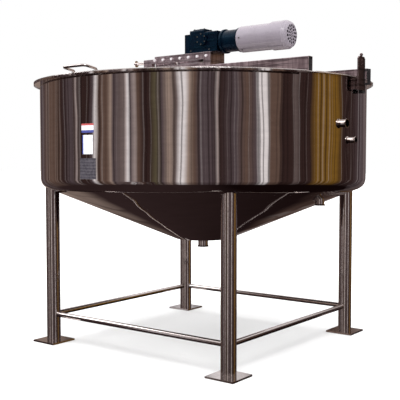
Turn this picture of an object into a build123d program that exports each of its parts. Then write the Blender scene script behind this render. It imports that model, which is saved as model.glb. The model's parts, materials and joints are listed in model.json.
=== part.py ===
from build123d import *
from math import atan2, cos, degrees, pi, radians, sin, sqrt, tan
import os

os.makedirs("parts", exist_ok=True)

# Cone-bottom milk vat on four legs. Millimetres, +Z up. The origin is on the floor under the vat's axis.
# +X is the end of the bridge that the motor points to. "Near" is the -Y side and "far" is the +Y side.

# ---- sheet-metal body -------------------------------------------------------------------------
TANK_R = 1219.0            # outer cladding radius (96 in across)
CLAD_T = 3.0               # outer cladding sheet
INSULATION_T = 50.0        # foam between cladding and vessel
VESSEL_T = 4.0             # inner vessel sheet
SEAM_Z = 1229.0            # where the straight wall meets the knuckle
RIM_Z = 1919.0             # top face of the rim flange
KNUCKLE_R = 80.0           # outside radius of the knuckle
CONE_ANGLE = 22.2          # slope of the cone from level, degrees
OUTLET_FLAT_R = 209.0      # radius of the small flat at the cone's bottom
RIM_T = 10.0               # rim flange thickness
RIM_OUT = 38.0             # how far the rim flange stands out from the wall

# ---- outlets: sanitary ferrules, tube bore and flange ------------------------------------------
FERRULE_WALL = 1.65
FERRULE_FLANGE_T = 6.4
DRAIN_TUBE_D = 76.2
DRAIN_FLANGE_D = DRAIN_TUBE_D + 14.8
DRAIN_DROP = 66.0          # below the flat bottom
UPPER_PORT_TUBE_D = 50.8
UPPER_PORT_FLANGE_D = UPPER_PORT_TUBE_D + 13.2
UPPER_PORT_Z = SEAM_Z + 375.0
UPPER_PORT_ANGLE = -4.2
UPPER_PORT_OUT = 36.0
LOWER_PORT_TUBE_D = 38.1
LOWER_PORT_FLANGE_D = LOWER_PORT_TUBE_D + 12.4
LOWER_PORT_Z = SEAM_Z + 268.0
LOWER_PORT_ANGLE = 1.8
LOWER_PORT_OUT = 34.0
CONE_PORT_TUBE_D = 63.5
CONE_PORT_FLANGE_D = CONE_PORT_TUBE_D + 14.0
CONE_PORT_R = TANK_R - 214.0
CONE_PORT_DROP = 38.0      # below the cone on its axis

# ---- legs ---------------------------------------------------------------------------------------
LEG_D = 101.6              # 4 in tube
LEG_WALL = 3.0
LEG_INSET = 82.4           # leg axis inside the wall
LEG_SPREAD = (TANK_R - LEG_INSET) / sqrt(2)  # from the vat's centre planes
FOOT_SIZE = 216.0
FOOT_T = 12.7
BRACE_D = 38.1
BRACE_Z = 207.0
BRACE_WALL = 2.0

# ---- bridge -------------------------------------------------------------------------------------
BEAM_H = 95.0
BEAM_W = 50.8
BEAM_WALL = 4.0
BEAM_FACE_Y = 445.0        # outer face of each beam from the centre plane
BEAM_HALF_LEN = TANK_R + RIM_OUT - 100.0
LEDGE_W = 30.0
PLUG_T = 6.0
DECK_T = 3.0
CHANNEL_H = 50.0
CHANNEL_W = 60.0
CHANNEL_T = 5.0

# ---- raised stand for the drive ----------------------------------------------------------------
STAND_FACE_Y = 90.0        # outer face of the rails from the centre plane
RAIL_W = 38.0
RAIL_TOP_Z = RIM_Z + 248.0
RAIL_H = 51.0
RAIL_START_X = -407.0
POST_R_X0 = 70.0           # motor-side posts
POST_R_X1 = 134.0
POST_L_X0 = -520.0         # posts at the other end
POST_L_X1 = -436.0
POST_L_TOP_Z = RAIL_TOP_Z - 19.0
TIE_TOP_Z = RAIL_TOP_Z - 79.0
TIE_H = 40.0
RAIL_BOLTS = 7
RAIL_BOLT_X0 = -404.0
RAIL_BOLT_X1 = POST_R_X1 - 38.0
RAIL_BOLT_Z = RAIL_TOP_Z - 29.0
RAIL_BOLT_R = 11.0
RAIL_BOLT_T = 9.0
PLATE_T = 13.0             # gearbox mounting plate
PLATE_X0 = -140.0
WASH_PIPE_D = 25.4
WASH_PIPE_Z = RAIL_TOP_Z - 27.0
WASH_PIPE_X0 = POST_L_X0 - 156.0
WASH_PIPE_X1 = -250.0
WASH_PIPE_BOTTOM_Z = RIM_Z - 219.0

# ---- gearbox and motor ---------------------------------------------------------------------------
GEARBOX_Z = RAIL_TOP_Z     # underside of the gearbox
DRIVE_Z = GEARBOX_Z + 74.0  # motor axis
GEARBOX_TOP_Z = GEARBOX_Z + 170.0
GEARBOX_STEP_Z = GEARBOX_Z + 151.0
GEARBOX_STEP_X = 62.0      # the casting is lower beyond this
GEARBOX_HALF_W = 75.0
GEARBOX_X0 = -70.0
GEARBOX_X1 = 180.0
GEARBOX_WALL = 12.0
RIB_HEIGHTS = (36.0, 82.0, 128.0)
END_CAP_X0 = GEARBOX_X0 - 58.0
END_CAP_TOP_Z = GEARBOX_Z + 144.0
NECK_X1 = GEARBOX_X1 + 24.0
MOTOR_R = 94.0
COWL_R = MOTOR_R + 7.0
ADAPTER_R = MOTOR_R - 5.0
ADAPTER_CAVITY_R = ADAPTER_R - 25.0
CARRIER_R = ADAPTER_CAVITY_R - 12.0
ADAPTER_X1 = NECK_X1 + 155.0
MOTOR_WALL = 8.0
COWL_X0 = ADAPTER_X1 + 281.0
MOTOR_X1 = COWL_X0 + 135.0
COWL_T = 2.0
COWL_END_R = COWL_R - 29.0
COWL_BEND = 34.0
FAN_R = COWL_R - 20.0
STATOR_BORE_R = MOTOR_R - 46.0
STATOR_X0 = ADAPTER_X1 + 71.0
STATOR_X1 = STATOR_X0 + 150.0
BOX_X0 = ADAPTER_X1 + 86.0  # terminal box
BOX_X1 = BOX_X0 + 120.0
BOX_DEPTH = 62.0
BOX_HALF_H = 48.0
CABLE_INLET_R = 10.5
ROTOR_GAP = 0.8
MOTOR_SHAFT_R = 14.0
BEVEL_TEETH = 36
PINION_TEETH = 16
BEVEL_INNER = 38.0         # gear faces run between these distances from the axes' crossing
BEVEL_OUTER = 60.0
MESH_GAP = 0.4
OUTPUT_SHAFT_R = 22.5
GEAR_SHAFT_R = 15.0
RUN_FIT = 0.05             # radial clearance of every running fit

# ---- agitator ------------------------------------------------------------------------------------
SHAFT_R = 30.0
COUPLING_R = SHAFT_R + 15.0
COUPLING_Z0 = RIM_Z + 66.0
COUPLING_Z1 = COUPLING_Z0 + 120.0
SHAFT_CLEAR = 142.0        # from the vat's bottom to the shaft's end
ARM_R = 21.0
SWEEP_OFF = 77.0           # upright sweep bars inside the vessel's wall
SWEEP_TOP_Z = RIM_Z - 129.0
UPPER_ARM_Z = WASH_PIPE_BOTTOM_Z - 50.0
LOWER_ARM_Z = SEAM_Z + 61.0
SWEEP_TURN = 5.0           # where the sweep stands at rest, clear of the port under the cone
SCRAPER_T = 12.0
SCRAPER_GAP = 6.0          # between a scraper's edge and the vessel

# ---- lids ----------------------------------------------------------------------------------------
LID_T = 3.0
LID_LIFT = 0.3             # running gap between lid and rim flange
LID_EDGE_Y = BEAM_FACE_Y + 33.0
LIP_GAP = 3.0
LIP_BOTTOM_Z = RIM_Z - 16.0
HINGE_Y = BEAM_FACE_Y + 22.0
HINGE_UP = 13.7            # hinge axis above the lid's underside
HINGE_R = 9.0
PIN_R = 4.0
HINGE_W = 24.0
HINGE_GAP = 0.6
HINGE_END_X = TANK_R - 399.0
HINGE_PLACES = (-HINGE_END_X, 0.0, HINGE_END_X)
HANDLE_ROD_R = 9.0
HANDLE_X0 = -130.0
HANDLE_X1 = 70.0
HANDLE_OUT_Y = TANK_R + 93.0
HANDLE_Z = RIM_Z + 34.0

# ---- rim hardware ----------------------------------------------------------------------------------
LUG_Y0 = 34.0
LUG_Y1 = 134.0
LUG_T = 10.0
LUG_X0 = TANK_R + RIM_OUT + 1.0
LUG_TOP_Z = RIM_Z + 137.0
LUG_BOTTOM_Z = RIM_Z - 87.0
LUG_HOLE_R = 8.0
LUG_WEB_T = 16.0
CLAMP_Y = LUG_Y1 + 23.0
CLAMP_T = 16.0
CLAMP_OUT_X = TANK_R + RIM_OUT + 38.0
CLAMP_IN_X = TANK_R + 3.0
CLAMP_BAR_W = 18.0
CLAMP_ARM_T = 12.0
CLAMP_TOP_Z = RIM_Z + 59.0
CLAMP_BOTTOM_Z = RIM_Z - 47.0
CLAMP_SCREW_X = TANK_R + 17.0
CLAMP_SCREW_R = 6.0
CLAMP_PAD_R = CLAMP_SCREW_R + 5.0
CLAMP_GRIP_R = CLAMP_SCREW_R + 9.0
CLAMP_GRIP_H = 52.0
CLAMP_GRIP_Z = CLAMP_BOTTOM_Z - CLAMP_GRIP_H - 3.0

# ---- plates on the wall ------------------------------------------------------------------------------
PLATE_ANGLE = -90.4
DATA_PLATE_W = 141.0
DATA_PLATE_Z0 = SEAM_Z + 12.0
DATA_PLATE_Z1 = SEAM_Z + 146.0
STICKERS = ((93.0, SEAM_Z + 172.0, SEAM_Z + 294.0), (109.0, SEAM_Z + 309.0, SEAM_Z + 367.0))

# ---- sizes that follow from the ones above ------------------------------------------------------------
SLOPE = radians(CONE_ANGLE)
VESSEL_IN = CLAD_T + INSULATION_T + VESSEL_T
VESSEL_OUT = CLAD_T + INSULATION_T
FLANGE_Z = RIM_Z - RIM_T
KNUCKLE_END_R = TANK_R - KNUCKLE_R + KNUCKLE_R * sin(SLOPE)
KNUCKLE_END_Z = SEAM_Z - KNUCKLE_R * cos(SLOPE)
BOTTOM_Z = KNUCKLE_END_Z - (KNUCKLE_END_R - OUTLET_FLAT_R) * tan(SLOPE)
CONE_PORT_END_Z = KNUCKLE_END_Z - (KNUCKLE_END_R - CONE_PORT_R) * tan(SLOPE) - CONE_PORT_DROP
SHAFT_BOTTOM_Z = BOTTOM_Z + SHAFT_CLEAR
SWEEP_REACH = TANK_R - VESSEL_IN - SWEEP_OFF
LID_Z = RIM_Z + LID_LIFT
LID_TOP_Z = LID_Z + LID_T
HINGE_Z = LID_Z + HINGE_UP
LIP_R = TANK_R + RIM_OUT + LIP_GAP + LID_T
BEAM_TOP_Z = RIM_Z + BEAM_H
DECK_TOP_Z = RIM_Z + DECK_T
PINION_CONE = atan2(PINION_TEETH, BEVEL_TEETH)
SHAFT_HOLE_R = COUPLING_R + 15.0


def save(node, shape):
    export_step(shape, f"parts/{node}.step")


def block(x0, x1, y0, y1, z0, z1):
    """Box between two corners."""
    size = Box(x1 - x0, y1 - y0, z1 - z0)
    return Pos((x0 + x1) / 2, (y0 + y1) / 2, (z0 + z1) / 2) * size


def upright(r, z0, z1, x=0.0, y=0.0):
    """Vertical round bar."""
    return Pos(x, y, (z0 + z1) / 2) * Cylinder(r, z1 - z0)


def along_x(r, x0, x1, y=0.0, z=0.0):
    """Round bar along X."""
    return Pos((x0 + x1) / 2, y, z) * Rot(0, 90, 0) * Cylinder(r, x1 - x0)


def along_y(r, y0, y1, x=0.0, z=0.0):
    """Round bar along Y."""
    return Pos(x, (y0 + y1) / 2, z) * Rot(90, 0, 0) * Cylinder(r, y1 - y0)


def cone_x(r0, r1, x0, x1, z):
    """Cone along +X whose radius goes from r0 to r1."""
    return Pos((x0 + x1) / 2, 0, z) * Rot(0, 90, 0) * Cone(r0, r1, x1 - x0)


def turned(points):
    """Solid of revolution about the vat's axis from (radius, height) points."""
    return revolve(Plane.XZ * make_face(Polyline(*points, close=True)), Axis.Z)


def group(solids):
    return Compound(children=list(solids))


def half_turn(shape):
    return Rot(0, 0, 180) * shape


def mirror_y(shape):
    return mirror(shape, about=Plane.XZ)


# ---- body ----------------------------------------------------------------------------------------
def body_line(inset):
    """Key points of the vat's outline, moved inwards by inset."""
    r = TANK_R - inset
    bend = KNUCKLE_R - inset
    centre_r = TANK_R - KNUCKLE_R
    end = (centre_r + bend * sin(SLOPE), SEAM_Z - bend * cos(SLOPE))
    half = (pi / 2 - SLOPE) / 2
    middle = (centre_r + bend * cos(half), SEAM_Z - bend * sin(half))
    floor_z = BOTTOM_Z + inset
    floor_r = end[0] - (end[1] - floor_z) / tan(SLOPE)
    floor = (floor_r, floor_z)
    return {"wall": (r, SEAM_Z), "middle": middle, "end": end, "floor": floor, "axis": (0, floor_z)}


def bottom_edges(inset):
    line = body_line(inset)
    return [
        ThreePointArc(line["wall"], line["middle"], line["end"]),
        Line(line["end"], line["floor"]),
        Line(line["floor"], line["axis"]),
    ]


def bottom_shell(outer, inner):
    """Knuckle, cone and flat between two insets."""
    a = body_line(outer)
    b = body_line(inner)
    edges = bottom_edges(outer) + [Line(a["axis"], b["axis"])]
    edges += bottom_edges(inner) + [Line(a["wall"], b["wall"])]
    return revolve(Plane.XZ * make_face(edges), Axis.Z)


def full_shell(outer, inner, top):
    """Wall, knuckle, cone and flat in one sheet."""
    a = body_line(outer)
    b = body_line(inner)
    edges = bottom_edges(outer) + [Line(a["axis"], b["axis"])] + bottom_edges(inner)
    edges += [
        Line(b["wall"], (b["wall"][0], top)),
        Line((b["wall"][0], top), (a["wall"][0], top)),
        Line((a["wall"][0], top), a["wall"]),
    ]
    return revolve(Plane.XZ * make_face(edges), Axis.Z)


def filled(inset, top):
    """Everything inside the outline."""
    a = body_line(inset)
    edges = bottom_edges(inset)
    edges += [
        Line(a["axis"], (0, top)),
        Line((0, top), (a["wall"][0], top)),
        Line((a["wall"][0], top), a["wall"]),
    ]
    return revolve(Plane.XZ * make_face(edges), Axis.Z)


def ring(r_out, r_in, z0, z1):
    return upright(r_out, z0, z1) - upright(r_in, z0 - 1, z1 + 1)


def wall_port_at(angle, z, shape):
    """Place a piece made along +X at an angle round the wall."""
    return Rot(0, 0, angle) * Pos(0, 0, z) * shape


def ferrule_x(tube_d, flange_d, r0, r1):
    """Sanitary ferrule along +X: thin tube with a clamp flange at its end."""
    bore = tube_d / 2 - FERRULE_WALL
    tube = along_x(tube_d / 2, r0, r1)
    flange = cone_x(tube_d / 2, flange_d / 2, r1 - 1.6 * FERRULE_FLANGE_T, r1 - FERRULE_FLANGE_T / 2, 0)
    face = along_x(flange_d / 2, r1 - FERRULE_FLANGE_T / 2, r1)
    return tube + flange + face - along_x(bore, r0 - 1, r1 + 1)


def ferrule_down(tube_d, flange_d, z0, z1):
    """The same, pointing straight down from z1 to z0."""
    piece = ferrule_x(tube_d, flange_d, 0, z1 - z0)
    return Pos(0, 0, z1) * Rot(0, 90, 0) * piece


def port_holes():
    """Where the wall ports and bottom outlets pass through the sheets."""
    upper = along_x(UPPER_PORT_TUBE_D / 2, TANK_R - 120, TANK_R + 60)
    lower = along_x(LOWER_PORT_TUBE_D / 2, TANK_R - 120, TANK_R + 60)
    return [
        wall_port_at(UPPER_PORT_ANGLE, UPPER_PORT_Z, upper),
        wall_port_at(LOWER_PORT_ANGLE, LOWER_PORT_Z, lower),
    ]


def bottom_holes():
    return [
        upright(DRAIN_TUBE_D / 2, BOTTOM_Z - 20, BOTTOM_Z + 90),
        upright(CONE_PORT_TUBE_D / 2, CONE_PORT_END_Z, SEAM_Z, x=CONE_PORT_R),
    ]


def without(shape, cutters):
    for cutter in cutters:
        shape = shape - cutter
    return shape


def make_body():
    save("outer_wall", without(ring(TANK_R, TANK_R - CLAD_T, SEAM_Z, FLANGE_Z), port_holes()))
    save("cone_jacket", without(bottom_shell(0, CLAD_T), bottom_holes()))
    foam = ring(TANK_R - CLAD_T, TANK_R - VESSEL_OUT, SEAM_Z, FLANGE_Z)
    save("wall_insulation", without(foam, port_holes()))
    save("cone_insulation", without(bottom_shell(CLAD_T, VESSEL_OUT), bottom_holes()))
    vessel = full_shell(VESSEL_OUT, VESSEL_IN, FLANGE_Z)
    save("inner_vessel", without(vessel, port_holes() + bottom_holes()))
    save("rim_flange", ring(TANK_R + RIM_OUT, TANK_R - VESSEL_IN, FLANGE_Z, RIM_Z))


def make_ports():
    inner = TANK_R - VESSEL_IN
    upper = ferrule_x(UPPER_PORT_TUBE_D, UPPER_PORT_FLANGE_D, inner - 2, TANK_R + UPPER_PORT_OUT)
    lower = ferrule_x(LOWER_PORT_TUBE_D, LOWER_PORT_FLANGE_D, inner - 2, TANK_R + LOWER_PORT_OUT)
    save("upper_wall_port", wall_port_at(UPPER_PORT_ANGLE, UPPER_PORT_Z, upper))
    save("lower_wall_port", wall_port_at(LOWER_PORT_ANGLE, LOWER_PORT_Z, lower))
    drain = ferrule_down(DRAIN_TUBE_D, DRAIN_FLANGE_D, BOTTOM_Z - DRAIN_DROP, BOTTOM_Z + VESSEL_IN)
    save("drain_outlet", drain)
    cone_port = ferrule_down(CONE_PORT_TUBE_D, CONE_PORT_FLANGE_D, CONE_PORT_END_Z, SEAM_Z - 20)
    save("cone_port", Pos(CONE_PORT_R, 0, 0) * cone_port - filled(VESSEL_IN, SEAM_Z + 50))


# ---- legs ----------------------------------------------------------------------------------------
LEG_CORNERS = {"front": (1, -1), "right": (1, 1), "back": (-1, 1), "left": (-1, -1)}


def make_legs():
    envelope = filled(0, SEAM_Z + LEG_D)
    plates = []
    for name, (sx, sy) in LEG_CORNERS.items():
        x = sx * LEG_SPREAD
        y = sy * LEG_SPREAD
        tube = upright(LEG_D / 2, FOOT_T, SEAM_Z, x, y) - upright(LEG_D / 2 - LEG_WALL, 0, SEAM_Z + 1, x, y)
        save(f"leg_{name}", (tube - envelope).solids().sort_by(SortBy.VOLUME)[-1])
        plates.append(Pos(x, y, FOOT_T / 2) * Box(FOOT_SIZE, FOOT_SIZE, FOOT_T))
    save("foot_plates", group(plates))


def brace_x(y):
    reach = LEG_SPREAD
    tube = along_x(BRACE_D / 2, -reach, reach, y, BRACE_Z)
    tube = tube - along_x(BRACE_D / 2 - BRACE_WALL, -reach - 1, reach + 1, y, BRACE_Z)
    for x in (-reach, reach):
        tube = tube - upright(LEG_D / 2, 0, 2 * BRACE_Z, x, y)
    return tube


def make_braces():
    front = brace_x(-LEG_SPREAD)
    rear = brace_x(LEG_SPREAD)
    save("leg_braces", group([front, rear, Rot(0, 0, 90) * front, Rot(0, 0, 90) * rear]))


# ---- bridge ----------------------------------------------------------------------------------------
def beam(side):
    """Rectangular tube, open at both ends, with a ledge that fills the gap to the lid's edge."""
    y0, y1 = sorted((side * BEAM_FACE_Y, side * (BEAM_FACE_Y - BEAM_W)))
    tube = block(-BEAM_HALF_LEN, BEAM_HALF_LEN, y0, y1, RIM_Z, BEAM_TOP_Z)
    w = BEAM_WALL
    hollow = block(-BEAM_HALF_LEN - 1, BEAM_HALF_LEN + 1, y0 + w, y1 - w, RIM_Z + w, BEAM_TOP_Z - w)
    tube = fillet(tube.edges().filter_by(Axis.X), 3.0)
    y0, y1 = sorted((side * (BEAM_FACE_Y - 6), side * (BEAM_FACE_Y + LEDGE_W)))
    ledge = block(-BEAM_HALF_LEN, BEAM_HALF_LEN, y0, y1, RIM_Z, DECK_TOP_Z)
    return tube + ledge - hollow


def beam_plugs():
    plugs = []
    for side in (-1, 1):
        y0, y1 = sorted((side * BEAM_FACE_Y, side * (BEAM_FACE_Y - BEAM_W)))
        w = BEAM_WALL
        for end in (-1, 1):
            x0, x1 = sorted((end * (BEAM_HALF_LEN - 2 * PLUG_T), end * (BEAM_HALF_LEN - PLUG_T)))
            plugs.append(block(x0, x1, y0 + w, y1 - w, RIM_Z + w, BEAM_TOP_Z - w))
    return group(plugs)


def deck():
    """Fixed cover between the beams, with holes for the shaft coupling and the wash pipe."""
    half = BEAM_FACE_Y - BEAM_W
    reach = TANK_R + RIM_OUT
    plate = upright(reach - 4, RIM_Z, DECK_TOP_Z) & block(-reach, reach, -half, half, RIM_Z, DECK_TOP_Z)
    plate = plate - upright(SHAFT_HOLE_R, RIM_Z - 1, DECK_TOP_Z + 1)
    return plate - upright(WASH_PIPE_D / 2, RIM_Z - 1, DECK_TOP_Z + 1, x=WASH_PIPE_X1)


def deck_channel(x0, x1):
    """Channel section across the deck, under a pair of posts."""
    half = BEAM_FACE_Y - BEAM_W
    top = DECK_TOP_Z + CHANNEL_H
    body = block(x0, x1, -half, half, DECK_TOP_Z, top)
    return body - block(x0 + CHANNEL_T, x1 - CHANNEL_T, -half - 1, half + 1, DECK_TOP_Z - 1, top - CHANNEL_T)


def post(x0, x1, side, top):
    y0, y1 = sorted((side * STAND_FACE_Y, side * (STAND_FACE_Y - RAIL_W)))
    solid = block(x0, x1, y0, y1, DECK_TOP_Z + CHANNEL_H, top)
    w = CHANNEL_T
    return solid - block(x0 + w, x1 - w, y0 + w, y1 - w, DECK_TOP_Z, top - w)


def rail(side):
    """Raised rail from the far-end post to the motor-side post."""
    y0, y1 = sorted((side * STAND_FACE_Y, side * (STAND_FACE_Y - RAIL_W)))
    solid = block(POST_L_X1, POST_R_X0, y0, y1, RAIL_TOP_Z - RAIL_H, RAIL_TOP_Z)
    step = block(POST_L_X1 - 1, RAIL_START_X, y0 - 1, y1 + 1, POST_L_TOP_Z, RAIL_TOP_Z + 1)
    w = BEAM_WALL
    hollow = block(POST_L_X1 - 1, POST_R_X0 + 1, y0 + w, y1 - w, RAIL_TOP_Z - RAIL_H + w, POST_L_TOP_Z - w)
    return solid - step - hollow


def tie(side):
    y0, y1 = sorted((side * STAND_FACE_Y, side * (STAND_FACE_Y - RAIL_W)))
    return block(POST_L_X1, POST_R_X0, y0, y1, TIE_TOP_Z - TIE_H, TIE_TOP_Z)


def rail_bolts():
    heads = []
    pitch = (RAIL_BOLT_X1 - RAIL_BOLT_X0) / (RAIL_BOLTS - 1)
    for side in (-1, 1):
        y0, y1 = sorted((side * STAND_FACE_Y, side * (STAND_FACE_Y + RAIL_BOLT_T)))
        for i in range(RAIL_BOLTS):
            x = RAIL_BOLT_X0 + i * pitch
            head = Pos(x, (y0 + y1) / 2, RAIL_BOLT_Z) * Rot(90, 0, 0)
            heads.append(head * extrude(RegularPolygon(RAIL_BOLT_R, 6), RAIL_BOLT_T / 2, both=True))
    return group(heads)


def mounting_plate():
    """Plate between the rails, flush with their tops."""
    half = STAND_FACE_Y - RAIL_W
    plate = block(PLATE_X0, POST_R_X1, -half, half, RAIL_TOP_Z - PLATE_T, RAIL_TOP_Z)
    return plate - upright(OUTPUT_SHAFT_R + 12, RAIL_TOP_Z - PLATE_T - 1, RAIL_TOP_Z + 1)


def wash_pipe():
    """Wash line: in from the end of the stand, then down through the deck."""
    path = FilletPolyline(
        (WASH_PIPE_X0, 0, WASH_PIPE_Z),
        (WASH_PIPE_X1, 0, WASH_PIPE_Z),
        (WASH_PIPE_X1, 0, WASH_PIPE_BOTTOM_Z),
        radius=60,
    )
    start = Plane(origin=(WASH_PIPE_X0, 0, WASH_PIPE_Z), z_dir=(1, 0, 0))
    face = start * Circle(WASH_PIPE_D / 2)
    bore = start * Circle(WASH_PIPE_D / 2 - FERRULE_WALL)
    bore_r = WASH_PIPE_D / 2 - FERRULE_WALL
    ferrule = along_x(WASH_PIPE_D / 2 + 12.5, WASH_PIPE_X0 - 6, WASH_PIPE_X0, 0, WASH_PIPE_Z)
    ferrule = ferrule - along_x(bore_r, WASH_PIPE_X0 - 7, WASH_PIPE_X0 + 1, 0, WASH_PIPE_Z)
    return sweep(face, path) - sweep(bore, path) + ferrule


def make_bridge():
    save("near_beam", beam(-1))
    save("far_beam", beam(1))
    save("beam_end_plugs", beam_plugs())
    save("deck_plate", deck())
    save("deck_channels", group([deck_channel(POST_R_X0, POST_R_X1), deck_channel(POST_L_X0, POST_L_X1)]))
    posts = []
    for side in (-1, 1):
        posts.append(post(POST_R_X0, POST_R_X1, side, RAIL_TOP_Z))
        posts.append(post(POST_L_X0, POST_L_X1, side, POST_L_TOP_Z))
    half = STAND_FACE_Y - RAIL_W
    posts.append(block(POST_R_X1 - 5, POST_R_X1, -half, half, DECK_TOP_Z + CHANNEL_H, RAIL_TOP_Z - PLATE_T))
    save("stand_posts", group(posts))
    save("stand_rails", group([rail(-1), rail(1), tie(-1), tie(1)]))
    save("rail_bolts", rail_bolts())
    save("mounting_plate", mounting_plate())
    save("wash_pipe", wash_pipe())


# ---- gearbox and motor --------------------------------------------------------------------------------
def gearbox_housing():
    """Cast housing: tall over the output shaft, lower towards the motor."""
    w = GEARBOX_HALF_W
    body = block(GEARBOX_X0, GEARBOX_X1, -w, w, GEARBOX_Z, GEARBOX_STEP_Z)
    tower = block(GEARBOX_X0, GEARBOX_STEP_X, -w, w, GEARBOX_Z, GEARBOX_TOP_Z)
    tower = fillet(tower.edges().group_by(Axis.Z)[-1].filter_by(Axis.X), 12)
    body = fillet(body.edges().group_by(Axis.Z)[-1].filter_by(Axis.X), 10) + tower
    foot = block(GEARBOX_X0, GEARBOX_X1, -w - 14, w + 14, GEARBOX_Z, GEARBOX_Z + 12)
    neck = cone_x(60, 56, GEARBOX_X1, NECK_X1, DRIVE_Z)
    body = body + foot + neck
    for height in RIB_HEIGHTS:
        z = GEARBOX_Z + height
        body = body + block(GEARBOX_X0 + 40, GEARBOX_X1 - 20, -w - 5, w + 5, z, z + 8)
    inner_w = w - GEARBOX_WALL
    floor_z = GEARBOX_Z + 18
    body = body - block(GEARBOX_X0 + 6, GEARBOX_X1 - 14, -inner_w, inner_w, floor_z, GEARBOX_STEP_Z - 14)
    body = body - block(GEARBOX_X0 + 6, GEARBOX_STEP_X - 10, -inner_w, inner_w, floor_z, GEARBOX_TOP_Z - 14)
    body = body - upright(OUTPUT_SHAFT_R + 15, GEARBOX_Z - 1, GEARBOX_Z + 19)
    body = body - upright(OUTPUT_SHAFT_R + 15, GEARBOX_TOP_Z - 15, GEARBOX_TOP_Z - 4)
    return body - along_x(45, GEARBOX_X1 - 15, NECK_X1 + 1, 0, DRIVE_Z)


def gearbox_covers():
    w = GEARBOX_HALF_W
    top = block(GEARBOX_X0 + 10, GEARBOX_STEP_X - 8, -52, 52, GEARBOX_TOP_Z, GEARBOX_TOP_Z + 8)
    top = fillet(top.edges().filter_by(Axis.Z), 12) + upright(30, GEARBOX_TOP_Z, GEARBOX_TOP_Z + 14)
    near = along_y(46, -w - 16, -w - 5, 48, DRIVE_Z + 22)
    near = near + along_y(30, -w - 21, -w - 16, 48, DRIVE_Z + 22)
    far = along_y(46, w + 5, w + 16, 48, DRIVE_Z + 22)
    return [top, near, far]


def gearbox_end_cap():
    w = GEARBOX_HALF_W - 4
    cap = block(END_CAP_X0, GEARBOX_X0, -w, w, GEARBOX_Z, END_CAP_TOP_Z)
    cap = fillet(cap.edges().filter_by(Axis.Z), 12)
    boss = along_x(26, END_CAP_X0 - 9, END_CAP_X0, 0, DRIVE_Z + 20)
    return cap + boss


def bolt_ring_y(count, pcd_r, x, z, y0, y1, r):
    bolts = []
    for i in range(count):
        a = 2 * pi * (i + 0.5) / count
        bolts.append(along_y(r, y0, y1, x + pcd_r * cos(a), z + pcd_r * sin(a)))
    return bolts


def gearbox_bolts():
    w = GEARBOX_HALF_W
    bolts = bolt_ring_y(6, 38, 48, DRIVE_Z + 22, -w - 21, -w - 16, 5)
    bolts += bolt_ring_y(6, 38, 48, DRIVE_Z + 22, w + 16, w + 21, 5)
    for x in (GEARBOX_X0 + 22, GEARBOX_STEP_X - 20):
        for y in (-42, 42):
            bolts.append(upright(5, GEARBOX_TOP_Z + 8, GEARBOX_TOP_Z + 13, x, y))
    for x in (GEARBOX_X0 + 14, POST_R_X1 - 16):
        for y in (-w - 7, w + 7):
            bolts.append(upright(7, GEARBOX_Z + 12, GEARBOX_Z + 20, x, y))
    return bolts


def gearbox_bearings():
    lower = ring(OUTPUT_SHAFT_R + 15, OUTPUT_SHAFT_R + RUN_FIT, GEARBOX_Z + 1, GEARBOX_Z + 17)
    upper = ring(OUTPUT_SHAFT_R + 15, OUTPUT_SHAFT_R + RUN_FIT, GEARBOX_TOP_Z - 14, GEARBOX_TOP_Z - 5)
    front = along_x(45, GEARBOX_X1, GEARBOX_X1 + 18, 0, DRIVE_Z)
    front = front - along_x(GEAR_SHAFT_R + RUN_FIT, GEARBOX_X1 - 1, GEARBOX_X1 + 19, 0, DRIVE_Z)
    return [lower, upper, front]


def motor_adapter():
    """Lantern between gearbox and motor. It holds the first reduction stage."""
    bell = along_x(ADAPTER_R, NECK_X1, NECK_X1 + 16, 0, DRIVE_Z)
    bell = bell + along_x(ADAPTER_R - 9, NECK_X1 + 16, ADAPTER_X1 - 16, 0, DRIVE_Z)
    bell = bell + along_x(ADAPTER_R, ADAPTER_X1 - 16, ADAPTER_X1, 0, DRIVE_Z)
    bell = bell - along_x(ADAPTER_CAVITY_R, NECK_X1 + 10, ADAPTER_X1 - 10, 0, DRIVE_Z)
    return bell - along_x(24, NECK_X1 - 1, ADAPTER_X1 + 1, 0, DRIVE_Z)


def motor_frame():
    shell = along_x(MOTOR_R, ADAPTER_X1, COWL_X0, 0, DRIVE_Z)
    shell = fillet(shell.edges().sort_by(Axis.X)[0], 6)
    shell = shell - along_x(MOTOR_R - MOTOR_WALL, ADAPTER_X1 + 16, COWL_X0 - 16, 0, DRIVE_Z)
    shell = shell - along_x(MOTOR_SHAFT_R + 12, ADAPTER_X1 - 1, COWL_X0 + 1, 0, DRIVE_Z)
    pad = block(BOX_X0 + 5, BOX_X1 - 5, MOTOR_R - 12, MOTOR_R + 8, DRIVE_Z - 40, DRIVE_Z + 40)
    pad = pad - along_x(MOTOR_R - MOTOR_WALL, ADAPTER_X1 + 16, COWL_X0 - 16, 0, DRIVE_Z)
    return shell + pad


def motor_stator():
    core = along_x(MOTOR_R - MOTOR_WALL, STATOR_X0, STATOR_X1, 0, DRIVE_Z)
    return core - along_x(STATOR_BORE_R, STATOR_X0 - 1, STATOR_X1 + 1, 0, DRIVE_Z)


def motor_bearings():
    rings = []
    for x in (ADAPTER_X1, COWL_X0 - 16):
        race = along_x(MOTOR_SHAFT_R + 12, x, x + 16, 0, DRIVE_Z)
        rings.append(race - along_x(MOTOR_SHAFT_R + RUN_FIT, x - 1, x + 17, 0, DRIVE_Z))
    return rings


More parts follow.
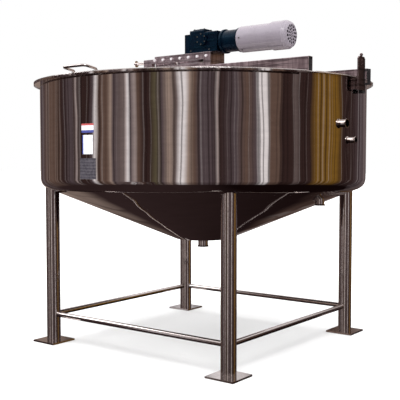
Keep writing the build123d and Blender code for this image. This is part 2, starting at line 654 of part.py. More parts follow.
def cowl_holes():
    """Slots in three rings round the cowl's end, with one in the middle."""
    holes = [along_x(5, MOTOR_X1 - 30, MOTOR_X1 + 5, 0, DRIVE_Z)]
    for count, r, wide, tall in ((6, 18, 10, 14), (10, 38, 14, 17), (14, 59, 16, 19)):
        for i in range(count):
            slot = extrude(SlotOverall(tall, wide), 30, both=True)
            ring = Pos(MOTOR_X1 - 8, 0, DRIVE_Z) * Rot(360.0 * i / count, 0, 0)
            holes.append(ring * Pos(0, 0, r) * Rot(0, 90, 0) * slot)
    return holes


def fan_cowl():
    """Domed sheet cover over the cooling fan."""
    straight = MOTOR_X1 - COWL_BEND
    middle = MOTOR_X1 - COWL_BEND / 3
    knee_r = COWL_R - COWL_BEND / 3
    lip_x = COWL_X0 - 8
    shell = along_x(COWL_R, lip_x, straight, 0, DRIVE_Z)
    shell = shell + cone_x(COWL_R, knee_r, straight, middle, DRIVE_Z)
    shell = shell + cone_x(knee_r, COWL_END_R, middle, MOTOR_X1, DRIVE_Z)
    inner = along_x(COWL_R - COWL_T, COWL_X0, straight, 0, DRIVE_Z)
    inner = inner + cone_x(COWL_R - COWL_T, knee_r - COWL_T, straight, middle, DRIVE_Z)
    inner = inner + cone_x(knee_r - COWL_T, COWL_END_R - COWL_T, middle, MOTOR_X1 - COWL_T, DRIVE_Z)
    inner = inner + along_x(MOTOR_R, lip_x - 1, COWL_X0 + 1, 0, DRIVE_Z)
    shell = shell - inner
    return without(shell, cowl_holes())


def motor_bolts():
    bolts = []
    for x in (ADAPTER_X1 + 32, COWL_X0 + 20):
        for turn in (60, 120, 240, 300):
            stud = upright(5, MOTOR_R, MOTOR_R + 4)
            bolts.append(Pos(x, 0, DRIVE_Z) * Rot(turn + 30, 0, 0) * stud)
    return bolts


def conduit_box():
    """Terminal box on the far side of the motor, with the cable inlet in its fan-end face."""
    y0 = MOTOR_R + 8
    middle = y0 + BOX_DEPTH / 2 + 1
    box = block(BOX_X0, BOX_X1, y0, y0 + BOX_DEPTH, DRIVE_Z - BOX_HALF_H, DRIVE_Z + BOX_HALF_H)
    box = fillet(box.edges().filter_by(Axis.Y), 8)
    inlet = along_x(CABLE_INLET_R + 6.5, BOX_X1, BOX_X1 + 18, middle, DRIVE_Z)
    return box + inlet - along_x(CABLE_INLET_R, BOX_X1 - 18, BOX_X1 + 19, middle, DRIVE_Z)


def make_drive():
    save("gearbox_housing", gearbox_housing())
    save("gearbox_covers", group(gearbox_covers() + [gearbox_end_cap()]))
    save("motor_adapter", motor_adapter())
    save("motor_frame", motor_frame())
    save("motor_stator", motor_stator())
    save("drive_bearings", group(gearbox_bearings() + motor_bearings()))
    save("fan_cowl", fan_cowl())
    save("drive_bolts", group(gearbox_bolts() + motor_bolts()))
    save("conduit_box", conduit_box())


# ---- turning pieces of the drive -------------------------------------------------------------------
def rotor():
    """Motor shaft with its core. Its inner end is the sun shaft of the first stage."""
    shaft = along_x(MOTOR_SHAFT_R, ADAPTER_X1 - 45, MOTOR_X1 - 45, 0, DRIVE_Z)
    return shaft + along_x(STATOR_BORE_R - ROTOR_GAP, STATOR_X0 + 2, STATOR_X1 - 2, 0, DRIVE_Z)


def motor_fan():
    hub = along_x(26, COWL_X0 + 25, COWL_X0 + 55, 0, DRIVE_Z)
    back = along_x(FAN_R, COWL_X0 + 25, COWL_X0 + 29, 0, DRIVE_Z)
    fan = hub + back
    for i in range(6):
        blade = block(COWL_X0 + 29, COWL_X0 + 55, -2, 2, 20, FAN_R)
        fan = fan + Pos(0, 0, DRIVE_Z) * Rot(60 * i, 0, 0) * blade
    return fan - along_x(MOTOR_SHAFT_R, COWL_X0 + 20, COWL_X0 + 60, 0, DRIVE_Z)


def pinion_shaft():
    """Cross shaft in one piece: first-stage carrier at one end, bevel pinion at the other."""
    rise = PINION_TEETH / BEVEL_TEETH
    shaft = along_x(GEAR_SHAFT_R, BEVEL_INNER + 2, NECK_X1 + 34, 0, DRIVE_Z)
    carrier = along_x(CARRIER_R, NECK_X1 + 34, NECK_X1 + 60, 0, DRIVE_Z)
    pinion = cone_x(BEVEL_INNER * rise, BEVEL_OUTER * rise, BEVEL_INNER, BEVEL_OUTER, DRIVE_Z)
    return shaft + carrier + pinion + along_x(BEVEL_OUTER * rise, BEVEL_OUTER, BEVEL_OUTER + 12, 0, DRIVE_Z)


def bevel_gear():
    rise = PINION_TEETH / BEVEL_TEETH
    top = DRIVE_Z - MESH_GAP
    blank = turned([
        (OUTPUT_SHAFT_R, top - BEVEL_INNER * rise),
        (BEVEL_INNER, top - BEVEL_INNER * rise),
        (BEVEL_OUTER, top - BEVEL_OUTER * rise),
        (BEVEL_OUTER - 4, top - BEVEL_OUTER * rise - 12),
        (OUTPUT_SHAFT_R, top - BEVEL_OUTER * rise - 12),
    ])
    return blank


def output_shaft():
    return upright(OUTPUT_SHAFT_R, COUPLING_Z1 - 50, GEARBOX_TOP_Z - 5)


def shaft_coupling():
    """Two-flange rigid coupling."""
    sleeve = upright(COUPLING_R - 10, COUPLING_Z0, COUPLING_Z1)
    middle = (COUPLING_Z0 + COUPLING_Z1) / 2
    sleeve = sleeve + upright(COUPLING_R, middle - 14, middle + 14)
    upper = upright(OUTPUT_SHAFT_R, COUPLING_Z1 - 50, COUPLING_Z1 + 1)
    lower = upright(SHAFT_R, COUPLING_Z0 - 1, COUPLING_Z0 + 50)
    return sleeve - upper - lower


def make_turning():
    save("motor_rotor", rotor())
    save("motor_fan", motor_fan())
    save("pinion_shaft", pinion_shaft())
    save("bevel_gear", bevel_gear())
    save("output_shaft", output_shaft())
    save("shaft_coupling", shaft_coupling())


# ---- agitator ----------------------------------------------------------------------------------------
def bar_between(a, b, r):
    """Round bar in the XZ plane between two (x, z) points."""
    dx = b[0] - a[0]
    dz = b[1] - a[1]
    length = sqrt(dx * dx + dz * dz)
    lean = degrees(atan2(dx, dz))
    return Pos((a[0] + b[0]) / 2, 0, (a[1] + b[1]) / 2) * Rot(0, lean, 0) * Cylinder(r, length)


def cone_bar_ends():
    """Ends of the bar that follows the cone, held off it by one bar radius and a scraper's width."""
    line = body_line(VESSEL_IN)
    off = TANK_R - VESSEL_IN - SWEEP_REACH
    shift_r = -off * sin(SLOPE)
    shift_z = off * cos(SLOPE)
    low = (line["floor"][0] + shift_r + 60, line["floor"][1] + shift_z + 60 * tan(SLOPE))
    high = (SWEEP_REACH, low[1] + (SWEEP_REACH - low[0]) * tan(SLOPE))
    return low, high


def sweep_frame():
    """Two-armed sweep: upright bars near the wall, sloping bars above the cone, joined to a hub."""
    low, high = cone_bar_ends()
    frame = upright(SHAFT_R + 18, UPPER_ARM_Z - 45, UPPER_ARM_Z + 45)
    frame = frame + upright(SHAFT_R + 18, LOWER_ARM_Z - 45, LOWER_ARM_Z + 45)
    frame = frame + upright(SHAFT_R + 18, low[1] - 45, low[1] + 45)
    for s in (-1, 1):
        frame = frame + bar_between((0, UPPER_ARM_Z), (s * SWEEP_REACH, UPPER_ARM_Z), ARM_R)
        frame = frame + bar_between((0, LOWER_ARM_Z), (s * SWEEP_REACH, LOWER_ARM_Z), ARM_R)
        frame = frame + bar_between((s * SWEEP_REACH, high[1]), (s * SWEEP_REACH, SWEEP_TOP_Z), ARM_R)
        frame = frame + bar_between((s * low[0], low[1]), (s * high[0], high[1]), ARM_R)
        frame = frame + bar_between((0, low[1]), (s * low[0], low[1]), ARM_R)
        frame = frame + Pos(s * high[0], 0, high[1]) * Sphere(ARM_R)
    frame = frame - upright(SHAFT_R, SHAFT_BOTTOM_Z - 200, SWEEP_TOP_Z + 200)
    return Rot(0, 0, SWEEP_TURN) * frame


def scrapers():
    """Plastic blades between the sweep bars and the vessel."""
    low, high = cone_bar_ends()
    inner = SWEEP_REACH + ARM_R
    outer = TANK_R - VESSEL_IN - SCRAPER_GAP
    blades = []
    side = block(inner, outer, -SCRAPER_T / 2, SCRAPER_T / 2, SEAM_Z + 20, SWEEP_TOP_Z)
    cone_width = outer - inner
    length = sqrt((high[0] - low[0]) ** 2 + (high[1] - low[1]) ** 2) - 120
    blade = Pos(0, 0, -ARM_R - cone_width / 2) * Box(length, SCRAPER_T, cone_width)
    middle = ((low[0] + high[0]) / 2, (low[1] + high[1]) / 2)
    slope = Pos(middle[0], 0, middle[1]) * Rot(0, -CONE_ANGLE, 0) * blade
    for turn in (SWEEP_TURN, SWEEP_TURN + 180):
        blades.append(Rot(0, 0, turn) * side)
        blades.append(Rot(0, 0, turn) * slope)
    return group(blades)


def make_agitator():
    save("agitator_shaft", upright(SHAFT_R, SHAFT_BOTTOM_Z, COUPLING_Z0 + 50))
    save("sweep_frame", sweep_frame())
    save("scrapers", scrapers())


# ---- lids ----------------------------------------------------------------------------------------------
def near_side(shape_r, z0, z1):
    """Part of a disc beyond the lid's straight edge."""
    reach = LIP_R + 10
    return upright(shape_r, z0, z1) & block(-reach, reach, -reach, -LID_EDGE_Y, z0, z1)


def lid():
    """Segment-shaped cover with a lip turned down outside the rim flange."""
    plate = near_side(LIP_R, LID_Z, LID_TOP_Z)
    lip = near_side(LIP_R, LIP_BOTTOM_Z, LID_Z) - upright(LIP_R - LID_T, LIP_BOTTOM_Z - 1, LID_Z + 1)
    return plate + lip


def lid_leaves():
    """Hinge leaves welded to the lid, one between each pair of lugs."""
    leaves = []
    for x in HINGE_PLACES:
        knuckle = along_x(HINGE_R, x - HINGE_W / 2, x + HINGE_W / 2, -HINGE_Y, HINGE_Z)
        foot = block(x - HINGE_W / 2, x + HINGE_W / 2, -HINGE_Y - 50, -HINGE_Y - 5, LID_TOP_Z, LID_TOP_Z + 5)
        web = block(x - HINGE_W / 2, x + HINGE_W / 2, -HINGE_Y - 14, -HINGE_Y, LID_TOP_Z + 2, HINGE_Z + 2)
        leaf = knuckle + foot + web
        leaves.append(leaf - along_x(PIN_R + RUN_FIT, x - 40, x + 40, -HINGE_Y, HINGE_Z))
    return group(leaves)


def hinge_lug(x):
    """Ear on the beam's outer face that carries one end of a hinge pin."""
    t = 10.0
    ear = along_x(HINGE_R, x - t / 2, x + t / 2, -HINGE_Y, HINGE_Z)
    ear = ear + block(x - t / 2, x + t / 2, -HINGE_Y, -BEAM_FACE_Y, HINGE_Z - HINGE_R, HINGE_Z + HINGE_R)
    return ear - along_x(PIN_R, x - t, x + t, -HINGE_Y, HINGE_Z)


def hinge_lugs():
    lugs = []
    off = HINGE_W / 2 + HINGE_GAP + 5
    for x in HINGE_PLACES:
        lugs += [hinge_lug(x - off), hinge_lug(x + off)]
    return lugs


def hinge_pins():
    reach = HINGE_W / 2 + HINGE_GAP + 10
    return [along_x(PIN_R, x - reach, x + reach, -HINGE_Y, HINGE_Z) for x in HINGE_PLACES]


def lid_handle():
    """Bent rod handle welded on the lid, leaning out over the rim."""
    foot_y = -HANDLE_OUT_Y + 112
    knee_y = -HANDLE_OUT_Y + 90
    knee_z = LID_TOP_Z + 17
    points = [
        (HANDLE_X0, foot_y, LID_TOP_Z - 8),
        (HANDLE_X0, knee_y, knee_z),
        (HANDLE_X0, -HANDLE_OUT_Y, HANDLE_Z),
        (HANDLE_X1, -HANDLE_OUT_Y, HANDLE_Z),
        (HANDLE_X1, knee_y, knee_z),
        (HANDLE_X1, foot_y, LID_TOP_Z - 8),
    ]
    path = FilletPolyline(*points, radius=[12, 26, 26, 12])
    start = Plane(origin=points[0], z_dir=Vector(*points[1]) - Vector(*points[0]))
    rod = sweep(start * Circle(HANDLE_ROD_R), path)
    below = block(HANDLE_X0 - 50, HANDLE_X1 + 50, -HANDLE_OUT_Y - 50, foot_y + 50, LID_TOP_Z - 60, LID_TOP_Z)
    return rod - below


def make_lids():
    save("near_lid", lid())
    save("far_lid", mirror_y(lid()))
    save("near_lid_leaves", lid_leaves())
    save("far_lid_leaves", group([mirror_y(leaf) for leaf in lid_leaves().solids()]))
    lugs = hinge_lugs()
    save("hinge_lugs", group(lugs + [mirror_y(lug) for lug in lugs]))
    pins = hinge_pins()
    save("hinge_pins", group(pins + [mirror_y(pin) for pin in pins]))
    save("near_lid_handle", lid_handle())
    save("far_lid_handle", half_turn(lid_handle()))


# ---- rim hardware -----------------------------------------------------------------------------------------
def rim_lug():
    """Upright lug on the wall: flat plate, web under the flange, round knob on top."""
    plate = block(LUG_X0, LUG_X0 + LUG_T, LUG_Y0, LUG_Y1, LUG_BOTTOM_Z, LUG_TOP_Z)
    plate = chamfer(plate.edges().filter_by(Axis.X).group_by(Axis.Z)[-1], 14)
    middle = (LUG_Y0 + LUG_Y1) / 2
    web_y0 = middle - LUG_WEB_T / 2
    web = block(TANK_R - 40, LUG_X0, web_y0, web_y0 + LUG_WEB_T, LUG_BOTTOM_Z + 8, FLANGE_Z)
    lug = plate + (web - upright(TANK_R, LUG_BOTTOM_Z, RIM_Z))
    for z in (LUG_TOP_Z - 20, LUG_TOP_Z - 48):
        lug = lug - along_x(LUG_HOLE_R, LUG_X0 - 1, LUG_X0 + LUG_T + 1, middle, z)
    knob = upright(7, LUG_TOP_Z - 2, LUG_TOP_Z + 8, LUG_X0 + LUG_T / 2, middle)
    return lug + knob + Pos(LUG_X0 + LUG_T / 2, middle, LUG_TOP_Z + 12) * Sphere(11)


def clamp_frame():
    """C-shaped frame: upper jaw over the bridge foot, lower jaw under the rim flange."""
    y0 = CLAMP_Y - CLAMP_T / 2
    y1 = CLAMP_Y + CLAMP_T / 2
    upper = block(CLAMP_IN_X, CLAMP_OUT_X, y0, y1, CLAMP_TOP_Z - CLAMP_ARM_T, CLAMP_TOP_Z)
    lower = block(CLAMP_IN_X, CLAMP_OUT_X, y0, y1, CLAMP_BOTTOM_Z, CLAMP_BOTTOM_Z + CLAMP_ARM_T)
    back = block(CLAMP_OUT_X - CLAMP_BAR_W, CLAMP_OUT_X, y0, y1, CLAMP_BOTTOM_Z, CLAMP_TOP_Z)
    frame = upper + lower + back
    hole = upright(CLAMP_SCREW_R + RUN_FIT, CLAMP_BOTTOM_Z - 1, CLAMP_BOTTOM_Z + CLAMP_ARM_T + 1)
    frame = frame - Pos(CLAMP_SCREW_X, CLAMP_Y, 0) * hole
    return frame


def bridge_foot():
    """Block on the deck's end that the clamp holds down on the rim."""
    top = CLAMP_TOP_Z - CLAMP_ARM_T
    return block(CLAMP_IN_X - 12, CLAMP_IN_X + 22, CLAMP_Y - 22, CLAMP_Y + 22, DECK_TOP_Z, top)


def clamp_pad():
    pad = upright(CLAMP_PAD_R, FLANGE_Z - 7, FLANGE_Z - 0.3, CLAMP_SCREW_X, CLAMP_Y)
    socket = upright(CLAMP_SCREW_R + RUN_FIT, FLANGE_Z - 8, FLANGE_Z - 3, CLAMP_SCREW_X, CLAMP_Y)
    return pad - socket


def clamp_screw():
    return upright(CLAMP_SCREW_R, CLAMP_GRIP_Z, FLANGE_Z - 3.3, CLAMP_SCREW_X, CLAMP_Y)


def clamp_knob():
    """Three-winged grip on the screw's lower end."""
    z0 = CLAMP_GRIP_Z
    z1 = z0 + CLAMP_GRIP_H
    grip = upright(CLAMP_GRIP_R, z0, z1, CLAMP_SCREW_X, CLAMP_Y)
    for i in range(3):
        a = radians(120 * i + 60)
        wing = upright(9, z0, z1, CLAMP_SCREW_X + CLAMP_GRIP_R * cos(a), CLAMP_Y + CLAMP_GRIP_R * sin(a))
        grip = grip + wing
    return grip - upright(CLAMP_SCREW_R, z0 - 1, z1 + 1, CLAMP_SCREW_X, CLAMP_Y)


def make_rim_hardware():
    save("rim_lug", rim_lug())
    save("bridge_foot", bridge_foot())
    save("clamp_frame", clamp_frame())
    save("clamp_pad", clamp_pad())
    save("clamp_screw", clamp_screw())
    save("clamp_knob", clamp_knob())


# ---- plates ------------------------------------------------------------------------------------------------
def wrapped_plate(width, z0, z1, thickness):
    """Thin plate that follows the wall."""
    band = ring(TANK_R + thickness, TANK_R, z0, z1)
    window = block(TANK_R - 30, TANK_R + 10, -width / 2, width / 2, z0 - 1, z1 + 1)
    return Rot(0, 0, PLATE_ANGLE) * (band & window)


def make_plates():
    save("data_plate", wrapped_plate(DATA_PLATE_W, DATA_PLATE_Z0, DATA_PLATE_Z1, 1.6))
    save("wall_labels", group([wrapped_plate(w, z0, z1, 0.5) for w, z0, z1 in STICKERS]))


make_body()
make_ports()
make_legs()
make_braces()
make_bridge()
make_drive()
make_turning()
make_agitator()
make_lids()
make_rim_hardware()
make_plates()
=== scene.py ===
import json
from math import cos, pi, radians, sin

import bpy
from mathutils import Matrix, Vector


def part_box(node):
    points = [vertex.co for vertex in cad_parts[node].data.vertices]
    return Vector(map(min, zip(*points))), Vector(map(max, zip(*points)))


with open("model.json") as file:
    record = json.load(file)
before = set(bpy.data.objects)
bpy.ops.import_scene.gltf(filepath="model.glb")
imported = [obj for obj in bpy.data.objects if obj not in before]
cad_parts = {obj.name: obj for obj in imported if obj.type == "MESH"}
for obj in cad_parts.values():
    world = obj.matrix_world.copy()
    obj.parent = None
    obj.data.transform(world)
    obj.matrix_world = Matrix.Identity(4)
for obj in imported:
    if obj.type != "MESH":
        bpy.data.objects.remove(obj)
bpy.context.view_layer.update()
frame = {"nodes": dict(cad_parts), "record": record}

NODES = frame["nodes"]

# Camera: bearing and distance from the vat's axis, height, small turns of the view, and lens.
CAMERA_BEARING = 36.92
CAMERA_DISTANCE = 5.8606
CAMERA_HEIGHT = 1.3714
CAMERA_PAN = -0.235
CAMERA_DIP = 3.09
CAMERA_SENSOR = 36
CAMERA_LENS = 68.76
CAMERA_REACH = 200

FLOOR_HALF = 60    # half the floor's width, in metres

# Fan cowl, in metres back from its end: where its bend starts, and the knee in the bend.
COWL_BEND = 0.034
COWL_KNEE = 0.011


# ---- shader maths ------------------------------------------------------------------------------
class Amount:
    """A shader value that can be used in sums."""

    def __init__(self, paint, socket):
        self.paint = paint
        self.socket = socket

    def _sum(self, operation, first, second):
        return self.paint.node("ShaderNodeMath", {"operation": operation}, {0: first, 1: second})

    def __add__(self, other):
        return self._sum("ADD", self, other)

    def __radd__(self, other):
        return self._sum("ADD", other, self)

    def __sub__(self, other):
        return self._sum("SUBTRACT", self, other)

    def __rsub__(self, other):
        return self._sum("SUBTRACT", other, self)

    def __mul__(self, other):
        return self._sum("MULTIPLY", self, other)

    def __rmul__(self, other):
        return self._sum("MULTIPLY", other, self)

    def __truediv__(self, other):
        return self._sum("DIVIDE", self, other)

    def __pow__(self, other):
        return self._sum("POWER", self, other)

    def __lt__(self, other):
        return self._sum("LESS_THAN", self, other)

    def __gt__(self, other):
        return self._sum("GREATER_THAN", self, other)


class Paint:
    """One procedural material, or the studio's world, under construction."""

    def __init__(self, name, library=None):
        self.material = (bpy.data.materials if library is None else library).new(name)
        self.material.use_nodes = True
        self.tree = self.material.node_tree
        self.tree.nodes.clear()

    def node(self, kind, settings=None, inputs=None, out=0):
        made = self.tree.nodes.new(kind)
        for name, value in (settings or {}).items():
            if name == "stops":
                self._stops(made.color_ramp, value)
            else:
                setattr(made, name, value)
        for name, value in (inputs or {}).items():
            socket = made.inputs[name]
            if isinstance(value, Amount):
                self.tree.links.new(value.socket, socket)
            else:
                socket.default_value = value
        return Amount(self, made.outputs[out]) if len(made.outputs) else None

    @staticmethod
    def _stops(ramp, stops):
        while len(ramp.elements) < len(stops):
            ramp.elements.new(0.5)
        for element, (place, colour) in zip(ramp.elements, stops):
            element.position = place
            element.color = (*colour, 1) if len(colour) == 3 else colour

    def place(self):
        """Position on the object, in metres."""
        return self.node("ShaderNodeTexCoord", out=3)

    def axis(self, name):
        return self.node("ShaderNodeSeparateXYZ", {}, {0: self.place()}, out="XYZ".index(name))

    def stretched(self, scale, turn=(0, 0, 0)):
        return self.node("ShaderNodeMapping", {}, {"Vector": self.place(), "Scale": scale, "Rotation": turn})

    def noise(self, scale, detail=3.0, rough=0.55, at=None, distort=0.0):
        links = {"Scale": scale, "Detail": detail, "Roughness": rough, "Distortion": distort}
        links["Vector"] = at or self.place()
        return self.node("ShaderNodeTexNoise", {}, links)

    def between(self, value, low, high, to_low=0.0, to_high=1.0):
        links = {"Value": value, 1: low, 2: high, 3: to_low, 4: to_high}
        return self.node("ShaderNodeMapRange", {"clamp": True}, links)

    def blend(self, share, a, b):
        """Colour a where share is 0 and colour b where it is 1."""
        made = self.tree.nodes.new("ShaderNodeMix")
        made.data_type = "RGBA"
        for name, value in ((0, share), (6, a), (7, b)):
            if isinstance(value, Amount):
                self.tree.links.new(value.socket, made.inputs[name])
            else:
                made.inputs[name].default_value = (*value, 1) if name else value
        return Amount(self, made.outputs[2])

    def bump(self, height, distance, strength=1.0, over=None):
        links = {"Height": height, "Distance": distance, "Strength": strength}
        if over is not None:
            links["Normal"] = over
        return self.node("ShaderNodeBump", {}, links)

    def edge_highlight(self, radius=0.004):
        """1 on convex edges, 0 on flat faces; used as the mask for painted highlights on edges."""
        rounded = self.node("ShaderNodeBevel", {"samples": 4}, {"Radius": radius})
        plain = self.node("ShaderNodeNewGeometry", {}, {}, out=1)
        links = {0: rounded, 1: plain}
        dot = self.node("ShaderNodeVectorMath", {"operation": "DOT_PRODUCT"}, links, out=1)
        return self.between(1 - dot, 0.02, 0.3)

    def finish(self, **sockets):
        names = {k.replace("_", " ").title(): v for k, v in sockets.items()}
        names = {k.replace("Ior", "IOR"): v for k, v in names.items()}
        for name, value in names.items():
            if name.endswith(("Color", "Tint")) and isinstance(value, tuple) and len(value) == 3:
                names[name] = (*value, 1)
        shader = self.node("ShaderNodeBsdfPrincipled", {}, names)
        self.node("ShaderNodeOutputMaterial", {}, {"Surface": shader})
        return self.material


# ---- finishes -----------------------------------------------------------------------------------
def polished_sheet(name, edge=0.0):
    """Mirror-polished stainless sheet, slightly wavy, with faint wipe marks and rounded edges."""
    p = Paint(name)
    wave = p.noise(1.0, 1.0, 0.4, p.stretched((2.8, 2.8, 1.6)))
    fine = p.noise(1.0, 1.0, 0.5, p.stretched((7, 7, 2.2)))
    wipe = p.noise(1.0, 4.0, 0.6, p.stretched((7, 7, 40), (0.2, 0, 0)))
    grime = p.between(p.noise(9.0, 5.0, 0.65), 0.45, 0.75)
    tone = p.blend(p.between(wipe, 0.3, 0.7), (0.70, 0.66, 0.64), (0.62, 0.585, 0.57))
    tone = p.blend(grime * 0.18, tone, (0.42, 0.37, 0.34))
    rough = 0.012 + 0.02 * wipe + 0.04 * grime
    rounded = p.node("ShaderNodeBevel", {"samples": 6}, {"Radius": edge}) if edge else None
    soft = p.bump(fine, 0.0006, 0.6, p.bump(wave, 0.009, 0.6, rounded))
    return p.finish(base_color=tone, metallic=1.0, roughness=rough, normal=soft)


def polished_tube():
    """Polished stainless tube with fine lengthwise polishing lines and a few scuffs."""
    p = Paint("polished_tube")
    lines = p.noise(1.0, 3.0, 0.6, p.stretched((60, 60, 9)))
    scuff = p.between(p.noise(22.0, 5.0, 0.7), 0.56, 0.72)
    tone = p.blend(p.between(lines, 0.3, 0.7), (0.68, 0.63, 0.61), (0.58, 0.54, 0.525))
    tone = p.blend(scuff * 0.3, tone, (0.33, 0.28, 0.26))
    rough = 0.05 + 0.06 * lines + 0.16 * scuff
    return p.finish(base_color=tone, metallic=1.0, roughness=rough, normal=p.bump(lines, 0.0004, 0.5))


def brushed_bar(name, light, dark):
    """Mill-finished stainless bar: brownish, streaked, with a painted highlight along its edges."""
    p = Paint(name)
    across = p.noise(1.0, 4.0, 0.7, p.stretched((30, 30, 2)))
    along = p.noise(1.0, 3.0, 0.6, p.stretched((3, 3, 55)))
    tone = p.blend(p.between(across, 0.4, 0.6), light, dark)
    tone = p.blend(p.between(along, 0.50, 0.58) * 0.75, tone, (dark[0] * 0.4, dark[1] * 0.4, dark[2] * 0.4))
    # Painted highlight: convex edges blended towards a pale pink-white.
    tone = p.blend(p.edge_highlight(0.006) * light[0] * 1.5, tone, (0.95, 0.88, 0.90))
    rough = 0.24 + 0.14 * along
    return p.finish(base_color=tone, metallic=1.0, roughness=rough, normal=p.bump(along, 0.0012, 0.6))


def highlight_bolt():
    """Bolt heads coloured near white as a painted highlight, mottled at random."""
    p = Paint("highlight_bolt")
    bolt_mottle = p.noise(80.0, 3.0, 0.6)
    # Painted highlight: the pale tones stand in for the glint on the bolt heads.
    tone = p.blend(bolt_mottle, (0.92, 0.88, 0.90), (0.70, 0.66, 0.68))
    return p.finish(base_color=tone, metallic=0.2, roughness=0.3 + 0.2 * bolt_mottle, normal=p.bump(bolt_mottle, 0.0005, 0.4))


def ground_stainless():
    """Fine-ground stainless of the vessel's inside and the sweep."""
    p = Paint("ground_stainless")
    grain = p.noise(1.0, 4.0, 0.7, p.stretched((30, 30, 260)))
    tone = p.blend(grain, (0.55, 0.54, 0.52), (0.70, 0.69, 0.67))
    rough = 0.2 + 0.15 * grain
    return p.finish(base_color=tone, metallic=1.0, roughness=rough, normal=p.bump(grain, 0.0003, 0.4))


def teal_enamel():
    """Glossy dark teal machine enamel over a cast surface, darker in random patches."""
    p = Paint("teal_enamel")
    cast = p.noise(55.0, 4.0, 0.6)
    drift = p.between(p.noise(9.0, 3.0), 0.35, 0.65)
    tone = p.blend(drift, (0.001, 0.006, 0.014), (0.001, 0.002, 0.007))
    # Painted highlight: convex edges blended towards a lighter teal.
    tone = p.blend(p.edge_highlight(0.003) * 0.4, tone, (0.01, 0.07, 0.11))
    return p.finish(base_color=tone, roughness=0.18 + 0.16 * cast, specular_ior_level=0.3,
                    specular_tint=(0.05, 0.35, 0.6), normal=p.bump(cast, 0.0012, 0.5))


def washdown_white():
    """White washdown paint of the motor, lightly marked, with a painted highlight on its edges and painted
    shade, near black, inside the fan cowl.
    """
    p = Paint("washdown_white")
    low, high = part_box("fan_cowl")
    y = p.axis("Y")
    z = p.axis("Z") - (low.z + high.z) / 2
    x = p.axis("X")
    off_axis = (y * y + z * z) ** 0.5
    skin = (high.z - low.z) / 2 - p.between(x, high.x - COWL_BEND, high.x - COWL_KNEE, 0.0, 0.012)
    skin = skin - p.between(x, high.x - COWL_KNEE, high.x, 0.0, 0.018)
    # Painted shade: this paint is made near black wherever it lies inside the fan cowl's skin.
    inside = (off_axis < (skin - 0.0015)) * (x < (high.x - 0.001)) * (x > (low.x + 0.009))
    peel = p.noise(120.0, 3.0, 0.5)
    marks = p.between(p.noise(11.0, 6.0, 0.7), 0.5, 0.8)
    tone = p.blend(marks * 0.5, (0.27, 0.24, 0.28), (0.18, 0.155, 0.18))
    # Painted highlight: convex edges blended towards a paler lavender.
    tone = p.blend(p.edge_highlight(0.003) * 0.35, tone, (0.45, 0.43, 0.47))
    # Painted shade inside the fan cowl.
    tone = p.blend(inside, tone, (0.004, 0.004, 0.005))
    return p.finish(base_color=tone, roughness=0.26 + 0.12 * marks, coat_weight=0.6, coat_roughness=0.12,
                    normal=p.bump(peel, 0.0005, 0.35))


def dark_metal():
    p = Paint("dark_metal")
    mottle = p.noise(45.0, 4.0, 0.65)
    tone = p.blend(mottle, (0.06, 0.058, 0.056), (0.16, 0.15, 0.14))
    rough = 0.3 + 0.25 * mottle
    return p.finish(base_color=tone, metallic=0.85, roughness=rough, normal=p.bump(mottle, 0.0006, 0.4))


def black_moulding():
    p = Paint("black_moulding")
    pores = p.noise(260.0, 3.0, 0.6)
    dust = p.between(p.noise(18.0, 4.0), 0.5, 0.8)
    tone = p.blend(dust * 0.4, (0.010, 0.009, 0.011), (0.055, 0.05, 0.05))
    return p.finish(base_color=tone, roughness=0.42 + 0.25 * pores, normal=p.bump(pores, 0.0004, 0.6))


def white_blade():
    p = Paint("white_blade")
    haze = p.noise(30.0, 4.0, 0.6)
    tone = p.blend(haze, (0.88, 0.87, 0.84), (0.76, 0.75, 0.71))
    return p.finish(base_color=tone, roughness=0.38 + 0.15 * haze, normal=p.bump(haze, 0.0006, 0.3))


def foam():
    p = Paint("foam")
    cells = p.noise(160.0, 4.0, 0.7)
    tone = p.blend(cells, (0.78, 0.66, 0.38), (0.88, 0.78, 0.52))
    return p.finish(base_color=tone, roughness=0.9, normal=p.bump(cells, 0.002, 0.7))


def plate_print():
    """Dark printed data plate."""
    p = Paint("plate_print")
    z = p.axis("Z")
    low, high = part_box("data_plate")
    rows = p.node("ShaderNodeMath", {"operation": "FRACT"}, {0: (z - low.z) / ((high.z - low.z) / 7)})
    dark = p.between(p.noise(60.0, 3.0), 0.35, 0.65)
    tone = p.blend(dark, (0.05, 0.045, 0.06), (0.10, 0.09, 0.11))
    tone = p.blend((rows < 0.08) * 0.7, tone, (0.35, 0.33, 0.34))
    return p.finish(base_color=tone, metallic=0.4, roughness=0.35)


def label_print():
    """Printed film labels: a pale sheet with a dark blue border, and a banded one above it."""
    p = Paint("label_print")
    x = p.axis("X")
    z = p.axis("Z")
    low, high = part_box("wall_labels")
    worn = p.between(p.noise(70.0, 4.0), 0.4, 0.8)
    tone = p.blend(worn * 0.3, (0.78, 0.79, 0.82), (0.60, 0.58, 0.60))
    side = (x - low.x) / (high.x - low.x)
    tone = p.blend(side < 0.16, tone, (0.05, 0.07, 0.28))
    upper = p.blend(z < (high.z - 0.042), (0.72, 0.70, 0.74), (0.05, 0.06, 0.25))
    upper = p.blend(z > (high.z - 0.012), upper, (0.42, 0.08, 0.08))
    tone = p.blend(z > (high.z - 0.06), tone, upper)
    return p.finish(base_color=tone, roughness=0.35, coat_weight=0.3)


SHEET = polished_sheet("polished_sheet")
RIM = polished_sheet("polished_rim", 0.010)
TUBE = polished_tube()
GROUND = ground_stainless()
TEAL = teal_enamel()
WHITE = washdown_white()
DARK = dark_metal()
BLACK = black_moulding()
BLADE = white_blade()
FOAM = foam()

FINISHES = {
    "polished_stainless": SHEET,
    "vessel_stainless": GROUND,
    "tube_stainless": TUBE,
    "foam": FOAM,
    "teal_enamel": TEAL,
    "white_paint": WHITE,
    "dark_steel": DARK,
    "black_plastic": BLACK,
    "white_plastic": BLADE,
    "plate_print": plate_print(),
    "label_print": label_print(),
}


def dress(node, material):
    data = NODES[node].data
    data.materials.clear()
    data.materials.append(material)


